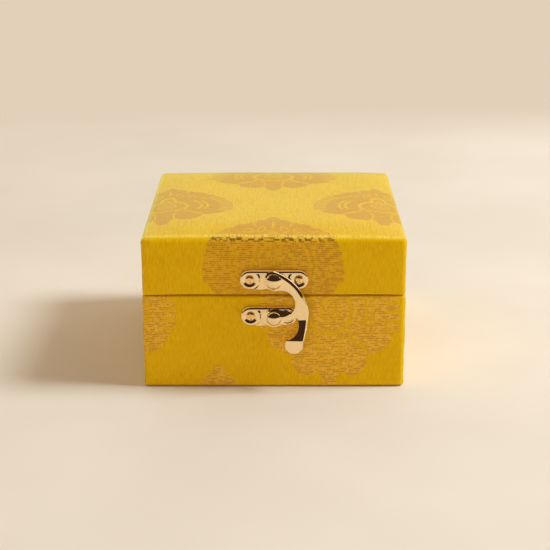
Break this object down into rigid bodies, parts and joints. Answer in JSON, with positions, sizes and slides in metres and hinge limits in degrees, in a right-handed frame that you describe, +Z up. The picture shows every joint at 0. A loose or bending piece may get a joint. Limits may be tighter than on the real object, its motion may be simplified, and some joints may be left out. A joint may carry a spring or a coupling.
{
  "type": "chinese brocade box",
  "caption": "Square keepsake box covered in yellow medallion brocade, with a hinged padded lid and a gold swing hook latch.",
  "frame": {"origin": "centre of the footprint, on the surface that the box stands on", "axes": "+Z up, the latch on the -Y face, +X to the right seen from the front"},
  "size_m": [0.1016, 0.1106, 0.0607],
  "materials": {
    "brocade": "satin",
    "foam": "matte",
    "board": "matte",
    "lining_card": "satin",
    "lining_pad": "satin",
    "foot_paper": "matte",
    "latch_gold": "polished",
    "hinge_brass": "satin"
  },
  "bodies": {
    "base": {"base_wrap": "brocade", "base_bottom_board": "board", "base_front_board": "board", "base_back_board": "board", "base_left_board": "board", "base_right_board": "board", "base_front_card": "lining_card", "base_back_card": "lining_card", "base_left_card": "lining_card", "base_right_card": "lining_card", "base_floor_pad": "lining_pad", "base_foot_sheet": "foot_paper", "catch_plate": "latch_gold", "catch_plate_screws": "latch_gold", "catch_stud": "latch_gold", "left_hinge_base_leaf": "hinge_brass", "right_hinge_base_leaf": "hinge_brass", "left_hinge_pin": "hinge_brass", "right_hinge_pin": "hinge_brass", "hinge_base_screws": "hinge_brass"},
    "lid": {"lid_wrap": "brocade", "lid_foam": "foam", "lid_top_board": "board", "lid_front_board": "board", "lid_back_board": "board", "lid_left_board": "board", "lid_right_board": "board", "lid_front_card": "lining_card", "lid_back_card": "lining_card", "lid_left_card": "lining_card", "lid_right_card": "lining_card", "lid_lining_panel": "lining_pad", "hasp_plate": "latch_gold", "hasp_plate_screws": "latch_gold", "hook_rivet": "latch_gold", "left_hinge_lid_leaf": "hinge_brass", "right_hinge_lid_leaf": "hinge_brass", "hinge_lid_screws": "hinge_brass"},
    "latch_hook": {"latch_hook": "latch_gold"}
  },
  "joints": [
    {"name": "lid_hinge", "type": "hinge", "parent": "base", "child": "lid", "pos_m": [0, 0.0524, 0.0379], "axis": [-1, 0, 0], "range_deg": [0, 180]},
    {"name": "hook_swing", "type": "hinge", "parent": "lid", "child": "latch_hook", "pos_m": [0, -0.0508, 0.0446], "axis": [0, -1, 0], "range_deg": [0, 120]}
  ]
}
